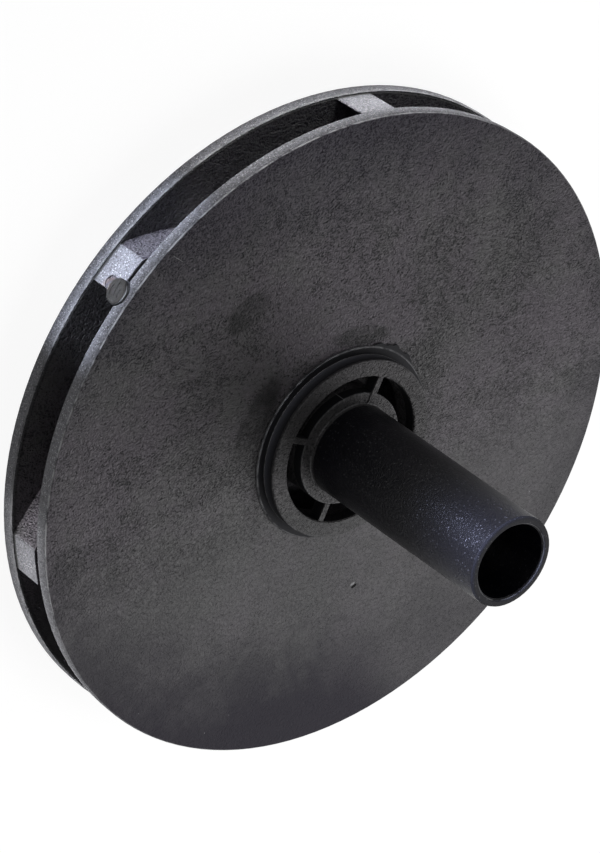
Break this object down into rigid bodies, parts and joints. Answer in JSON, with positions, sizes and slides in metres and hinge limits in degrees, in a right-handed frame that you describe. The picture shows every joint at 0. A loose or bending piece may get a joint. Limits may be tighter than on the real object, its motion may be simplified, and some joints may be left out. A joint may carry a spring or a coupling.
{
  "type": "pump impeller",
  "caption": "Closed centrifugal pump impeller in black moulded plastic: backward-curved vanes between two shrouds, a spoked eye and a long hollow tube on the shaft axis.",
  "frame": {"origin": "on the shaft axis, in the plane of the back shroud's outer face", "axes": "+Z along the shaft axis, from the back face to the mouth of the tube; +X lies in the back face, so that the vane tip with the gate stub is 132 degrees round from it towards +Y"},
  "size_m": [0.142, 0.142, 0.0681],
  "materials": {
    "cover_plastic": "spark-eroded leather-like grain, satin, with smoother rims and tube",
    "back_plastic": "spark-eroded grain, satin"
  },
  "bodies": {
    "root": {"front_cover": "cover_plastic", "vaned_back": "back_plastic"}
  },
  "joints": []
}
